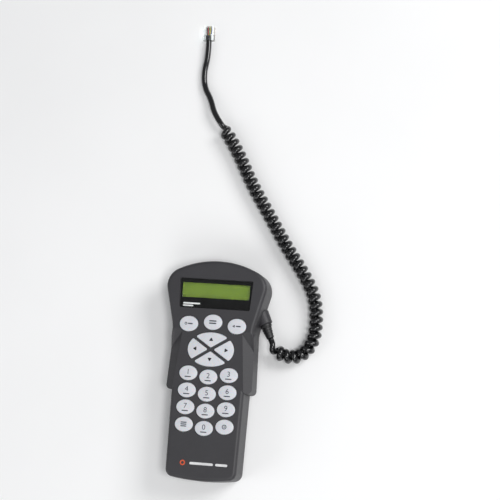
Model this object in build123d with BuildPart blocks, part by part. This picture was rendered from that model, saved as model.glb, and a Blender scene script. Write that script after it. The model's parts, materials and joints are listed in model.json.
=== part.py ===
from build123d import *
import math
import os

os.makedirs("parts", exist_ok=True)

# Telescope hand controller lying on its back, in millimetres.
# +X is to the right, +Y towards the head, +Z out of the keypad face. The back rests on z = 0.

# ---- Case: driving dimensions ------------------------------------------------------------------------------
case_length = 188.0
half_length = case_length / 2
face_z = 33.0            # plane of the keypad face
parting_z = 12.0         # where the front and rear shells meet
parting_gap = 0.15       # the hairline between them
wall = 2.4               # side walls and back
face_wall = 2.8          # keypad face
ceiling_z = face_z - face_wall
front_round = 3.0        # edge round of the face
rear_round = 6.0         # edge round of the back
rear_inner_round = 4.0

head_radius = 78.3       # arched top of the head
shoulder_x = 46.0        # where the arch would meet the head's side, before rounding
shoulder_round = 16.0
neck = (36.0, 38.0)      # narrowest place of the neck
neck_round = 60.0
waist = (31.8, -4.0)     # the grip's upper end, under the wings
waist_round = 120.0
grip_foot = (30.8, -91.0)
foot_round = 7.0

wing_top_half_width = 35.5
wing_half_width = 37.5   # at the wings' lower end
wing_top_y = 40.0
wing_foot_y = -18.0
wing_back_z = 4.0
wing_round = 4.0
wing_back_round = 3.0

panel_top = (27.0, 24.0)     # edge of the raised keypad panel, beside the wings
panel_foot = (31.2, -18.0)
panel_step = 0.8             # height of the panel over the wing's flank
flank_drop = 0.72            # fall of the flank per millimetre outwards
flank_fade_y = 34.0          # where the flank has risen to the face again
flank_fade_slope = 0.45
flank_valley_round = 8.0
flank_reach = 14.0           # width of the cut, past the wings' sides

tongue_width = 1.0
tongue_height = 1.2
tongue_play = 0.12

# ---- Display -----------------------------------------------------------------------------------------------
window_y = 94.0 - 28.85
window_height = 25.3
window_top_width = 64.0
window_foot_width = 61.4
window_thickness = 1.5
window_recess = 0.4
window_play = 0.12
window_ledge = 1.8
lcd_y = 67.9
lcd_view = (60.0, 14.6)
bezel_size = (68.0, 22.0)
bezel_sheet = 0.5
bezel_top_z = ceiling_z - 0.3
lcd_board_size = (70.0, 29.6)
lcd_board_y = 65.6
lcd_screws_at = [(-33.0, 53.2), (33.0, 53.2)]
board_thickness = 1.6
board_top_z = 25.0
board_back_z = board_top_z - board_thickness
board_round = 1.0
board_screw_play = 0.1

# ---- Keys --------------------------------------------------------------------------------------------------
key_travel = 1.2
key_proud = 1.2
key_play = 0.45          # gap between a key and its hole
flange_lip = 0.85        # how far a key's flange reaches past the key
flange_thickness = 1.3
flange_top_z = ceiling_z - 0.3
stem_inset = 2.6          # how far inside an oval key's outline its stem stands
cross_stem_radius = 2.9
pill_end_z = board_top_z + key_travel + 0.1
stem_end_z = pill_end_z + 0.5
pill_radius = 2.2
crown_radius = 42.0
top_key_size = (16.2, 13.2)
number_key_size = (15.8, 12.6)
number_key_column = 17.7
number_key_rows = (-3.6, -18.2, -32.6, -47.3)
number_key_middle_drop = 2.4
cross_centre_y = 17.5
cross_size = (40.5, 29.3)
cross_gap = 2.6
cross_angle = 33.0
cross_crown_radius = 160.0
crown_rise = 0.3         # of an oval key's middle over its rim
cross_crown_rise = 0.5
crown_edge_round = 0.7
mat_thickness = 1.1
mat_rim_height = 1.0
mat_rim_width = 1.2
mat_play = 0.6

# ---- Cord --------------------------------------------------------------------------------------------------
cord_diameter = 5.0
coil_diameter = 12.6
exit_point = Vector(38.6, 50.0, parting_z)
exit_direction = Vector(0.42, -0.9075, 0).normalized()
exit_boss_radius = 6.3
exit_boss_length = 7.0
exit_boss_inside = 4.0    # how far the boss starts inside the case's side
exit_boss_chamfer = 0.6
relief_length = 12.0
plug_size = (9.65, 6.6, 13.0)


# ---- Case outlines -----------------------------------------------------------------------------------------
shoulder = (shoulder_x, half_length - head_radius + math.sqrt(head_radius**2 - shoulder_x**2))

with BuildSketch() as case_outline:
    with BuildLine():
        ThreePointArc((-shoulder[0], shoulder[1]), (0, half_length), shoulder)
        side = Polyline(shoulder, neck, waist, grip_foot)
        mirror(side, about=Plane.YZ)
        ThreePointArc((-grip_foot[0], grip_foot[1]), (0, -half_length), grip_foot)
    make_face()
    fillet(case_outline.vertices().filter_by(lambda v: abs(v.Y - shoulder[1]) < 1), shoulder_round)
    fillet(case_outline.vertices().filter_by(lambda v: abs(v.Y - neck[1]) < 1), neck_round)
    fillet(case_outline.vertices().filter_by(lambda v: abs(v.Y - waist[1]) < 1), waist_round)
    fillet(case_outline.vertices().filter_by(lambda v: abs(v.Y - grip_foot[1]) < 1), foot_round)

with BuildSketch() as cavity_outline:
    add(case_outline.sketch)
    offset(amount=-wall)

with BuildSketch() as tongue_outline:
    add(case_outline.sketch)
    offset(amount=-(wall - tongue_width))

with BuildSketch() as groove_outline:
    add(case_outline.sketch)
    offset(amount=-(wall - tongue_width - tongue_play))

# The space behind the face: as wide as the head there, and narrower behind the keypad.
keypad_half_width = 26.8
neck_half_width = 31.5
neck_space_y = 29.5
keypad_space_foot_y = -86.0
tail_space_half_width = 13.0
tail_space_foot_y = -90.8
head_space_y = 50.0

with BuildSketch() as face_space:
    add(cavity_outline.sketch)
    with Locations((0, head_space_y - 200)):
        Rectangle(200, 400, mode=Mode.SUBTRACT)
    with Locations((0, (neck_space_y + head_space_y) / 2)):
        Rectangle(2 * neck_half_width, head_space_y - neck_space_y + 1)
    with Locations((0, (keypad_space_foot_y + neck_space_y) / 2)):
        Rectangle(2 * keypad_half_width, neck_space_y - keypad_space_foot_y)
    with Locations((0, keypad_space_foot_y)):
        Rectangle(2 * tail_space_half_width, 2 * (keypad_space_foot_y - tail_space_foot_y))

# ---- Case solid before it is hollowed and parted -----------------------------------------------------------
with BuildPart() as main_form:
    with BuildSketch():
        add(case_outline.sketch)
    extrude(amount=face_z)
    fillet(main_form.faces().sort_by(Axis.Z)[-1].edges(), front_round)
    fillet(main_form.faces().sort_by(Axis.Z)[0].edges(), rear_round)

with BuildPart() as wing_form:
    with BuildSketch(Plane.XY.offset(wing_back_z)):
        Polygon(
            (-wing_top_half_width, wing_top_y),
            (wing_top_half_width, wing_top_y),
            (wing_half_width, wing_foot_y),
            (-wing_half_width, wing_foot_y),
            align=None,
        )
    extrude(amount=face_z - wing_back_z)
    fillet(wing_form.edges().filter_by(Axis.Z).group_by(Axis.Y)[0], wing_round)
    wing_back_edges = wing_form.faces().sort_by(Axis.Z)[0].edges()
    fillet(wing_back_edges.filter_by(lambda e: abs(e.center().X) > 5), wing_back_round)
    wing_front_edges = wing_form.faces().sort_by(Axis.Z)[-1].edges()
    fillet(wing_front_edges.filter_by(lambda e: abs(e.center().X) > 5), front_round)

# The flanks beside the keypad panel fall away outwards, and rise to the face again at the neck.
panel_run = Vector(panel_top[0] - panel_foot[0], panel_top[1] - panel_foot[1], 0)
panel_foot_point = Vector(panel_foot[0], panel_foot[1], 0) - panel_run * 0.2
flank_plane = Plane(origin=panel_foot_point, x_dir=(-panel_run.Y, panel_run.X, 0), z_dir=panel_run)

with BuildPart() as flank_cut:
    with BuildSketch(flank_plane) as flank_profile:
        step_z = face_z - panel_step
        far = -flank_reach
        Polygon(
            (0, face_z + 5),
            (0, step_z),
            (far, step_z - flank_drop * flank_reach),
            (far, face_z + 5),
            align=None,
        )
    extrude(amount=panel_run.length * 1.6)
    fade_plane = Plane(origin=(0, flank_fade_y, face_z), z_dir=(0, -flank_fade_slope, 1))
    split(bisect_by=fade_plane, keep=Keep.TOP)
    valley = flank_cut.edges().filter_by(lambda e: e.center().Z < step_z - 0.1).group_by(Axis.Y)[-1]
    fillet(valley, flank_valley_round)
    mirror(about=Plane.YZ)

# The cord leaves through a round boss on the right of the neck, shared by both shells.
exit_plane = Plane(origin=exit_point, x_dir=(0, 0, 1), z_dir=exit_direction)

with BuildPart() as exit_boss:
    with BuildSketch(exit_plane.offset(-exit_boss_inside)):
        Circle(exit_boss_radius)
    extrude(amount=exit_boss_inside + exit_boss_length)
    chamfer(exit_boss.faces().sort_by(Axis.Y)[0].edges(), exit_boss_chamfer)

# The strain relief's seat in that boss: a bore with a ring groove.
relief_bore_radius = 4.2
relief_bore_reach = 12.0
relief_ring_radius = 5.4
relief_ring_from, relief_ring_to = 2.5, 4.5

with BuildPart() as relief_seat:
    with BuildSketch(exit_plane.offset(-relief_bore_reach)):
        Circle(relief_bore_radius)
    extrude(amount=relief_bore_reach + exit_boss_length + 1)
    with BuildSketch(exit_plane.offset(relief_ring_from)):
        Circle(relief_ring_radius)
    extrude(amount=relief_ring_to - relief_ring_from)

with BuildPart() as case_solid:
    add(main_form.part)
    add(wing_form.part)
    add(flank_cut.part, mode=Mode.SUBTRACT)
    add(exit_boss.part)

# ---- Fixings shared by the pieces --------------------------------------------------------------------------
case_screws_at = [(-20.0, 84.6), (20.0, 84.6), (-22.5, -81.5), (22.5, -81.5)]
case_post_radius = 3.5
case_screw_head_radius = 2.8
case_screw_radius = 1.3
case_screw_head_z = 4.0
case_screw_tip_z = 23.0
board_screws_at = [(-10.5, 47.2), (10.5, 47.2), (-22.0, -59.0), (22.0, -59.0)]
board_post_radius = 2.5
board_screw_radius = 1.0
case_screw_head_height = 2.0
board_screw_head_radius = 2.0
board_screw_head_height = 1.4
board_screw_bite = 3.5       # thread in the post
board_screw_hole_depth = 4.0
thread_play = 0.05
screw_play = 0.3             # round the shank and head in the rear shell

# ---- Data jack in the foot ---------------------------------------------------------------------------------
jack_size = (12.0, 13.0, 11.0)
jack_mouth = (8.2, 7.0)
jack_depth = 10.5
jack_front_y = -90.9
jack_centre_z = board_back_z - jack_size[2] / 2
jack_opening = (10.0, 8.6)
jack_opening_round = 0.8
foot_cut = 6.0               # through the case's foot wall


def window_sketch(grow):
    """Sketch of the display window, slightly narrower at its foot, grown all round."""
    with BuildSketch() as outline:
        half_top = window_top_width / 2
        half_foot = window_foot_width / 2
        Polygon(
            (-half_top, window_y + window_height / 2),
            (half_top, window_y + window_height / 2),
            (half_foot, window_y - window_height / 2),
            (-half_foot, window_y - window_height / 2),
            align=None,
        )
        fillet(outline.vertices(), 1.2)
        if grow:
            offset(amount=grow)
    return outline.sketch


# ---- Keys: outlines ----------------------------------------------------------------------------------------
def oval_key(size, grow):
    """Sketch of an oval key, grown all round."""
    with BuildSketch() as outline:
        Ellipse(size[0] / 2 + grow, size[1] / 2 + grow)
    return outline.sketch


def cross_key(turn, grow):
    """Sketch of one key of the direction cross about the cross's centre: a piece of an oval cut along an X."""
    angle = math.radians(cross_angle)
    upright = turn in (90, 270)
    apex = (cross_gap / 2 - grow) / (math.cos(angle) if upright else math.sin(angle))
    side = Vector(40 * math.cos(angle), 40 * math.sin(angle), 0)
    sign = 1 if turn in (0, 90) else -1
    if upright:
        wedge = [(0, sign * apex), (side.X, sign * (apex + side.Y)), (-side.X, sign * (apex + side.Y))]
    else:
        wedge = [(sign * apex, 0), (sign * (apex + side.X), side.Y), (sign * (apex + side.X), -side.Y)]
    with BuildSketch() as outline:
        Ellipse(cross_size[0] / 2 + grow, cross_size[1] / 2 + grow)
        Polygon(*wedge, align=None, mode=Mode.INTERSECT)
        fillet(outline.vertices(), 1.1 + grow)
    return outline.sketch


top_key_row = 38.5
top_key_middle_row = 40.9
oval_keys = {
    "key_top_left": (-21.0, top_key_row, top_key_size),
    "key_top_middle": (0.0, top_key_middle_row, top_key_size),
    "key_top_right": (21.0, top_key_row, top_key_size),
}
number_key_names = [
    ("key_1", "key_2", "key_3"),
    ("key_4", "key_5", "key_6"),
    ("key_7", "key_8", "key_9"),
    ("key_foot_left", "key_0", "key_foot_right"),
]
for row_y, names in zip(number_key_rows, number_key_names):
    for column, name in enumerate(names):
        drop = number_key_middle_drop if column == 1 else 0.0
        oval_keys[name] = ((column - 1) * number_key_column, row_y - drop, number_key_size)

cross_stem_reach = {0: 12.6, 90: 8.6, 180: 12.6, 270: 8.6}
cross_keys = {"key_right": 0, "key_up": 90, "key_left": 180, "key_down": 270}


def key_sketches(grow):
    """Every key's outline, in its place on the face, grown all round."""
    placed = [Pos(x, y) * oval_key(size, grow) for x, y, size in oval_keys.values()]
    placed += [Pos(0, cross_centre_y) * cross_key(turn, grow) for turn in cross_keys.values()]
    return placed


def stem_place(name):
    """Centre of the stem under a key."""
    if name in oval_keys:
        return oval_keys[name][0], oval_keys[name][1]
    angle = math.radians(cross_keys[name])
    reach = cross_stem_reach[cross_keys[name]]
    return reach * math.cos(angle), cross_centre_y + reach * math.sin(angle)


def stem_sketch(name, grow):
    """Outline of the stem under a key, in its place."""
    with BuildSketch() as outline:
        with Locations(stem_place(name)):
            if name in oval_keys:
                size = oval_keys[name][2]
                Ellipse(size[0] / 2 - stem_inset + grow, size[1] / 2 - stem_inset + grow)
            else:
                Circle(cross_stem_radius + grow)
    return outline.sketch


all_keys = list(oval_keys) + list(cross_keys)

# ---- Shells ------------------------------------------------------------------------------------------------
lower_space_top_z = 24.5

with BuildPart() as front_shell:
    add(case_solid.part)
    split(bisect_by=Plane.XY.offset(parting_z + parting_gap), keep=Keep.TOP)
    with BuildSketch(Plane.XY.offset(parting_z)):
        add(cavity_outline.sketch)
    extrude(amount=lower_space_top_z - parting_z, mode=Mode.SUBTRACT)
    with BuildSketch(Plane.XY.offset(parting_z)):
        add(groove_outline.sketch)
    extrude(amount=tongue_height + 2 * parting_gap, mode=Mode.SUBTRACT)
    with BuildSketch(Plane.XY.offset(lower_space_top_z - 1)):
        add(face_space.sketch)
    extrude(amount=ceiling_z - lower_space_top_z + 1, mode=Mode.SUBTRACT)
    # Window seat and the opening under it
    with BuildSketch(Plane.XY.offset(face_z - window_recess - window_thickness)):
        add(window_sketch(window_play))
    extrude(amount=window_thickness + window_recess + 1, mode=Mode.SUBTRACT)
    with BuildSketch(Plane.XY.offset(ceiling_z - 1)):
        add(window_sketch(-window_ledge))
    extrude(amount=face_wall + 2, mode=Mode.SUBTRACT)
    # Key holes
    with BuildSketch(Plane.XY.offset(ceiling_z - 1)):
        for key in key_sketches(key_play):
            add(key)
    extrude(amount=face_wall + 2, mode=Mode.SUBTRACT)
    # Posts for the case screws and for the screws of both circuit boards
    with BuildSketch(Plane.XY.offset(parting_z + parting_gap)):
        with Locations(*case_screws_at):
            Circle(case_post_radius)
    extrude(amount=ceiling_z - parting_z - parting_gap)
    with BuildSketch(Plane.XY.offset(parting_z)):
        with Locations(*case_screws_at):
            Circle(case_screw_radius + thread_play)
    extrude(amount=case_screw_tip_z + 1 - parting_z, mode=Mode.SUBTRACT)
    with BuildSketch(Plane.XY.offset(board_top_z)):
        with Locations(*board_screws_at, *lcd_screws_at):
            Circle(board_post_radius)
    extrude(amount=ceiling_z - board_top_z)
    with BuildSketch(Plane.XY.offset(board_top_z)):
        with Locations(*board_screws_at, *lcd_screws_at):
            Circle(board_screw_radius + thread_play)
    extrude(amount=board_screw_hole_depth, mode=Mode.SUBTRACT)
    # Opening for the data jack in the foot
    with BuildSketch(Plane.XZ.offset(half_length + 1)):
        with Locations((0, jack_centre_z)):
            RectangleRounded(*jack_opening, jack_opening_round)
    extrude(amount=-foot_cut, mode=Mode.SUBTRACT)
    add(relief_seat.part, mode=Mode.SUBTRACT)

rear_post_radius = 4.2
label_size = (44.0, 28.0)
label_recess = 0.4
label_thickness = 0.3
label_y = 40.0
label_round = 2.0
label_play = 0.2
label_seat = (label_size[0] + 2 * label_play, label_size[1] + 2 * label_play)

with BuildPart() as rear_space:
    with BuildSketch(Plane.XY.offset(wall)):
        add(cavity_outline.sketch)
    extrude(amount=parting_z)
    fillet(rear_space.faces().sort_by(Axis.Z)[0].edges(), rear_inner_round)

with BuildPart() as rear_shell:
    add(case_solid.part)
    split(bisect_by=Plane.XY.offset(parting_z), keep=Keep.BOTTOM)
    add(rear_space.part, mode=Mode.SUBTRACT)
    with BuildSketch(Plane.XY.offset(parting_z - 1)):
        add(tongue_outline.sketch)
        add(cavity_outline.sketch, mode=Mode.SUBTRACT)
    extrude(amount=1 + tongue_height)
    with BuildSketch(Plane.XY.offset(wall)):
        with Locations(*case_screws_at):
            Circle(rear_post_radius)
    extrude(amount=parting_z - wall)
    with BuildSketch():
        with Locations(*case_screws_at):
            Circle(case_screw_radius + screw_play)
    extrude(amount=parting_z + 1, mode=Mode.SUBTRACT)
    with BuildSketch():
        with Locations(*case_screws_at):
            Circle(case_screw_head_radius + screw_play)
    extrude(amount=case_screw_head_z, mode=Mode.SUBTRACT)
    with BuildSketch():
        with Locations((0, label_y)):
            RectangleRounded(*label_seat, label_round + label_play)
    extrude(amount=label_recess, mode=Mode.SUBTRACT)
    add(relief_seat.part, mode=Mode.SUBTRACT)

with BuildPart() as rear_label:
    with BuildSketch(Plane.XY.offset(label_recess - label_thickness)):
        with Locations((0, label_y)):
            RectangleRounded(*label_size, label_round)
    extrude(amount=label_thickness)


def screws(places, head_z, head_radius, head_height, radius, tip_z):
    """Pan-head screws that point up: heads from head_z, with a cross recess, and shanks to tip_z."""
    with BuildPart() as group:
        with BuildSketch(Plane.XY.offset(head_z - head_height)):
            with Locations(*places):
                Circle(head_radius)
        extrude(amount=head_height)
        fillet(group.edges().filter_by(lambda e: abs(e.center().Z - head_z + head_height) < 0.01), 0.5)
        with BuildSketch(Plane.XY.offset(head_z)):
            with Locations(*places):
                Circle(radius)
        extrude(amount=tip_z - head_z)
        with BuildSketch(Plane.XY.offset(head_z - head_height)):
            with Locations(*places):
                Rectangle(head_radius * 1.1, head_radius * 0.25)
                Rectangle(head_radius * 0.25, head_radius * 1.1)
        extrude(amount=head_height * 0.5, mode=Mode.SUBTRACT)
    return group


def small_screws(places):
    """Screws that hold a circuit board to the front shell's posts."""
    tip_z = board_top_z + board_screw_bite
    return screws(places, board_back_z, board_screw_head_radius, board_screw_head_height, board_screw_radius,
                  tip_z)


case_screws = screws(case_screws_at, case_screw_head_z, case_screw_head_radius, case_screw_head_height,
                     case_screw_radius, case_screw_tip_z)
board_screws = small_screws(board_screws_at)
lcd_screws = small_screws(lcd_screws_at)

# ---- Display pieces ----------------------------------------------------------------------------------------
with BuildPart() as display_window:
    with BuildSketch(Plane.XY.offset(face_z - window_recess - window_thickness)):
        add(window_sketch(0))
    extrude(amount=window_thickness)
    chamfer(display_window.faces().sort_by(Axis.Z)[-1].edges(), 0.25)

bezel_inner = (bezel_size[0] - 2 * bezel_sheet, bezel_size[1] - 2 * bezel_sheet)
lcd_glass_thickness = 2.1
glass_play = 0.1
strip_width = 1.8
strip_length = 58.0
backlight_play = 0.5
backlight_size = (
    bezel_inner[0] - 2 * backlight_play,
    bezel_inner[1] - 2 * (strip_width + backlight_play + glass_play),
)

with BuildPart() as lcd_bezel:
    with BuildSketch(Plane.XY.offset(board_top_z)):
        with Locations((0, lcd_y)):
            Rectangle(*bezel_size)
    extrude(amount=bezel_top_z - board_top_z)
    fillet(lcd_bezel.faces().sort_by(Axis.Z)[-1].edges(), 0.4)
    with BuildSketch(Plane.XY.offset(board_top_z)):
        with Locations((0, lcd_y)):
            Rectangle(*bezel_inner)
    extrude(amount=bezel_top_z - bezel_sheet - board_top_z, mode=Mode.SUBTRACT)
    with BuildSketch(Plane.XY.offset(bezel_top_z)):
        with Locations((0, lcd_y)):
            Rectangle(*lcd_view)
    extrude(amount=-2 * bezel_sheet, mode=Mode.SUBTRACT)

lcd_glass_top_z = bezel_top_z - bezel_sheet - glass_play
lcd_glass_back_z = lcd_glass_top_z - lcd_glass_thickness

with BuildPart() as lcd_glass:
    with BuildSketch(Plane.XY.offset(lcd_glass_back_z)):
        with Locations((0, lcd_y)):
            Rectangle(bezel_inner[0] - 2 * glass_play, bezel_inner[1] - 2 * glass_play)
    extrude(amount=lcd_glass_thickness)

with BuildPart() as lcd_backlight:
    with BuildSketch(Plane.XY.offset(board_top_z)):
        with Locations((0, lcd_y)):
            Rectangle(*backlight_size)
    extrude(amount=lcd_glass_back_z - board_top_z)

with BuildPart() as lcd_contact_strips:
    strip_reach = bezel_inner[1] / 2 - glass_play - strip_width / 2
    with BuildSketch(Plane.XY.offset(board_top_z)):
        with Locations((0, lcd_y + strip_reach), (0, lcd_y - strip_reach)):
            Rectangle(strip_length, strip_width)
    extrude(amount=lcd_glass_back_z - board_top_z)

with BuildPart() as lcd_board:
    with BuildSketch(Plane.XY.offset(board_back_z)) as lcd_board_outline:
        with Locations((0, lcd_board_y)):
            RectangleRounded(*lcd_board_size, board_round)
        with Locations(*lcd_screws_at):
            Circle(board_screw_radius + board_screw_play, mode=Mode.SUBTRACT)
    extrude(amount=board_thickness)

ribbon_size = (16.0, 12.0, 0.5)
ribbon_y = 51.0
with BuildPart() as lcd_ribbon:
    with BuildSketch(Plane.XY.offset(board_back_z - ribbon_size[2])):
        with Locations((0, ribbon_y)):
            Rectangle(ribbon_size[0], ribbon_size[1])
    extrude(amount=ribbon_size[2])

# ---- Main board and what is soldered to it -----------------------------------------------------------------
board_half_width = 26.2
board_head_y = 49.8
board_foot_y = -70.0
board_tail_half_width = 12.0
board_tail_y = -89.5
key_light_size = (2.0, 1.25, 0.8)
key_lights_at = [(x, y) for x in (-8.85, 8.85) for y in (-12.1, -26.6, -41.2)]
key_lights_at += [(-10.5, 34.2), (10.5, 34.2), (-19.5, 4.8), (19.5, 4.8)]

with BuildPart() as main_board:
    with BuildSketch(Plane.XY.offset(board_back_z)):
        with Locations((0, (board_head_y + board_foot_y) / 2)):
            RectangleRounded(2 * board_half_width, board_head_y - board_foot_y, board_round)
        with Locations((0, (board_foot_y + board_tail_y) / 2 + 1)):
            Rectangle(2 * board_tail_half_width, board_foot_y - board_tail_y + 2)
        with Locations(*board_screws_at):
            Circle(board_screw_radius + board_screw_play, mode=Mode.SUBTRACT)
    extrude(amount=board_thickness)

with BuildPart() as key_lights:
    with BuildSketch(Plane.XY.offset(board_top_z)):
        with Locations(*key_lights_at):
            Rectangle(key_light_size[0], key_light_size[1])
    extrude(amount=key_light_size[2])


chip_gap = 0.2             # between a chip's body and the board
leg_length = 1.6
leg_height = 0.7


def chip(place, body, height, legs_per_side, pitch):
    """A moulded chip under the board, with legs along its two long sides."""
    x, y = place
    width, length = body
    with BuildPart() as package:
        with BuildSketch(Plane.XY.offset(board_back_z - chip_gap - height)):
            with Locations((x, y)):
                Rectangle(width, length)
        extrude(amount=height)
        with BuildSketch(Plane.XY.offset(board_back_z - leg_height)):
            with Locations((x, y)):
                with GridLocations(width + leg_length - 0.4, pitch, 2, legs_per_side):
                    Rectangle(leg_length, pitch * 0.4)
        extrude(amount=leg_height)
    return package


microcontroller = chip((0.0, 12.0), (12.0, 14.0), 2.2, 10, 1.27)
memory_chip = chip((-13.0, -12.0), (6.0, 9.0), 1.6, 6, 1.27)
regulator = chip((14.0, -30.0), (6.5, 6.5), 2.2, 3, 2.0)

crystal_at = (-15.0, 14.0)
crystal_size = (4.6, 11.0, 3.6)
with BuildPart() as crystal:
    with BuildSketch(Plane.XY.offset(board_back_z - crystal_size[2])):
        with Locations(crystal_at):
            SlotOverall(crystal_size[1], crystal_size[0], rotation=90)
    extrude(amount=crystal_size[2])
    fillet(crystal.faces().sort_by(Axis.Z)[0].edges(), 0.5)

capacitors_at = [(14.0, -16.0), (4.0, -32.0), (-6.0, -38.0)]
capacitor_radius = 2.5
capacitor_height = 6.0
with BuildPart() as capacitors:
    with BuildSketch(Plane.XY.offset(board_back_z - capacitor_height)):
        with Locations(*capacitors_at):
            Circle(capacitor_radius)
    extrude(amount=capacitor_height)
    fillet(capacitors.faces().sort_by(Axis.Z)[0 : len(capacitors_at)].edges(), 0.4)

connector_place = (12.0, 40.0)
connector_size = (15.0, 6.0, 6.0)
connector_wall = 1.0
connector_recess = 1.5
with BuildPart() as cord_connector:
    with BuildSketch(Plane.XY.offset(board_back_z - connector_size[2])):
        with Locations(connector_place):
            Rectangle(connector_size[0], connector_size[1])
    extrude(amount=connector_size[2])
    with BuildSketch(Plane.XY.offset(board_back_z - connector_size[2])):
        with Locations(connector_place):
            Rectangle(connector_size[0] - 2 * connector_wall, connector_size[1] - 2 * connector_wall)
    extrude(amount=connector_recess, mode=Mode.SUBTRACT)

# ---- Data jack ---------------------------------------------------------------------------------------------
jack_centre_y = jack_front_y + jack_size[1] / 2
jack_latch_slot = (3.4, 1.4, 3.0)

with BuildPart() as data_jack:
    with BuildSketch(Plane.XY.offset(board_back_z - jack_size[2])):
        with Locations((0, jack_centre_y)):
            Rectangle(jack_size[0], jack_size[1])
    extrude(amount=jack_size[2])
    with BuildSketch(Plane.XZ.offset(-jack_front_y)):
        with Locations((0, jack_centre_z)):
            Rectangle(*jack_mouth)
    extrude(amount=-jack_depth, mode=Mode.SUBTRACT)
    # The slot for the plug's latch, under the mouth
    with BuildSketch(Plane.XZ.offset(-jack_front_y)):
        with Locations((0, jack_centre_z - jack_mouth[1] / 2 - 0.5)):
            Rectangle(jack_latch_slot[0], jack_latch_slot[1])
    extrude(amount=-jack_latch_slot[2], mode=Mode.SUBTRACT)

jack_contact_pitch = 1.27
jack_contact_count = 4
jack_contact_half_width = 0.2
with BuildPart() as jack_contacts:
    mouth_top_z = jack_centre_z + jack_mouth[1] / 2
    back_y = jack_front_y + jack_depth
    with BuildSketch(Plane.YZ) as contact_profile:
        with BuildLine():
            Polyline(
                (back_y, mouth_top_z),
                (back_y - 8.4, mouth_top_z),
                (back_y - 2.6, mouth_top_z - 1.5),
                (back_y - 2.4, mouth_top_z - 1.2),
                (back_y - 6.2, mouth_top_z - 0.3),
                (back_y, mouth_top_z - 0.3),
                close=True,
            )
        make_face()
    one_contact = extrude(contact_profile.sketch, amount=jack_contact_half_width, both=True, mode=Mode.PRIVATE)
    with GridLocations(jack_contact_pitch, 1, jack_contact_count, 1):
        add(one_contact)

# ---- Keys and their mat ------------------------------------------------------------------------------------
flange_back_z = flange_top_z - flange_thickness


def key_piece(name):
    """One key: a crowned cap with a flange that holds it in, a stem, and the contact pill under the stem."""
    crossed = name in cross_keys
    if crossed:
        cap_sketch = Pos(0, cross_centre_y) * cross_key(cross_keys[name], 0)
        flange_sketch = Pos(0, cross_centre_y) * cross_key(cross_keys[name], flange_lip)
        crown_place = (0, cross_centre_y)
        radius = cross_crown_radius
        top = face_z + key_proud + cross_crown_rise
    else:
        x, y, size = oval_keys[name]
        cap_sketch = Pos(x, y) * oval_key(size, 0)
        flange_sketch = Pos(x, y) * oval_key(size, flange_lip)
        crown_place = (x, y)
        radius = crown_radius
        top = face_z + key_proud + crown_rise
    with BuildPart() as key:
        with BuildSketch(Plane.XY.offset(flange_back_z)):
            add(cap_sketch)
        extrude(amount=top - flange_back_z)
        with Locations((crown_place[0], crown_place[1], top - radius)):
            Sphere(radius, mode=Mode.INTERSECT)
        fillet(key.faces().sort_by(Axis.Z)[-1].edges(), crown_edge_round)
        with BuildSketch(Plane.XY.offset(flange_back_z)):
            add(flange_sketch)
        extrude(amount=flange_thickness)
        with BuildSketch(Plane.XY.offset(stem_end_z)):
            add(stem_sketch(name, 0))
        extrude(amount=flange_back_z - stem_end_z)
        with BuildSketch(Plane.XY.offset(pill_end_z)):
            with Locations(stem_place(name)):
                Circle(pill_radius)
        extrude(amount=stem_end_z - pill_end_z)
    return key


keys = {name: key_piece(name) for name in all_keys}

mat_head_y = 47.0
mat_foot_y = -56.2
mat_half_width = 26.3
light_window = (3.2, 2.4)
mat_round = 2.0
mat_post_play = 0.4

with BuildPart() as keypad_mat:
    with BuildSketch(Plane.XY.offset(board_top_z)) as mat_outline:
        with Locations((0, (mat_head_y + mat_foot_y) / 2)):
            RectangleRounded(2 * mat_half_width, mat_head_y - mat_foot_y, mat_round)
        with Locations(*board_screws_at):
            Circle(board_post_radius + mat_post_play, mode=Mode.SUBTRACT)
    extrude(amount=mat_thickness)
    with BuildSketch(Plane.XY.offset(board_top_z)):
        for name in all_keys:
            add(stem_sketch(name, mat_play + mat_rim_width))
    extrude(amount=mat_thickness + mat_rim_height)
    with BuildSketch(Plane.XY.offset(board_top_z)):
        for name in all_keys:
            add(stem_sketch(name, mat_play))
        with Locations(*key_lights_at):
            Rectangle(*light_window)
    extrude(amount=mat_thickness + mat_rim_height, mode=Mode.SUBTRACT)

# ---- Strain relief, cord and plug --------------------------------------------------------------------------
relief_inside = 6.0
relief_gap = 0.3
relief_tip = exit_boss_length + relief_gap + relief_length
relief_foot_radius = 5.0
relief_tip_radius = 3.2
relief_play = 0.2
relief_collar = 1.8
relief_collar_step = 0.5
relief_groove_width = 0.8
relief_groove_floor = 3.2
relief_grooves_at = (10.4, 12.7, 15.0, 17.2)
relief_collar_from = exit_boss_length + relief_gap

with BuildPart() as strain_relief:
    relief_profile_plane = Plane(origin=exit_point, x_dir=exit_direction, z_dir=(0, 0, 1))
    with BuildSketch(relief_profile_plane):
        with BuildLine():
            Polyline(
                (-relief_inside, 0),
                (-relief_inside, relief_bore_radius - relief_play),
                (relief_collar_from, relief_bore_radius - relief_play),
                (relief_collar_from, relief_foot_radius),
                (relief_collar_from + relief_collar, relief_foot_radius),
                (relief_collar_from + relief_collar + 0.4, relief_foot_radius - relief_collar_step),
                (relief_tip, relief_tip_radius),
                (relief_tip, 0),
                close=True,
            )
        make_face()
        with Locations(((relief_ring_from + relief_ring_to) / 2, (relief_ring_radius - relief_play) / 2)):
            Rectangle(relief_ring_to - relief_ring_from - relief_play, relief_ring_radius - relief_play)
        with Locations(*[(along, relief_foot_radius) for along in relief_grooves_at]):
            Rectangle(relief_groove_width, 2 * (relief_foot_radius - relief_groove_floor), mode=Mode.SUBTRACT)
    revolve(axis=Axis(exit_point, exit_direction))

relief_tip_point = exit_point + exit_direction * relief_tip
lead_z = cord_diameter / 2 + 0.1
coil_z = coil_diameter / 2 + 0.1
plug_entry_z = 3.4

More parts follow.
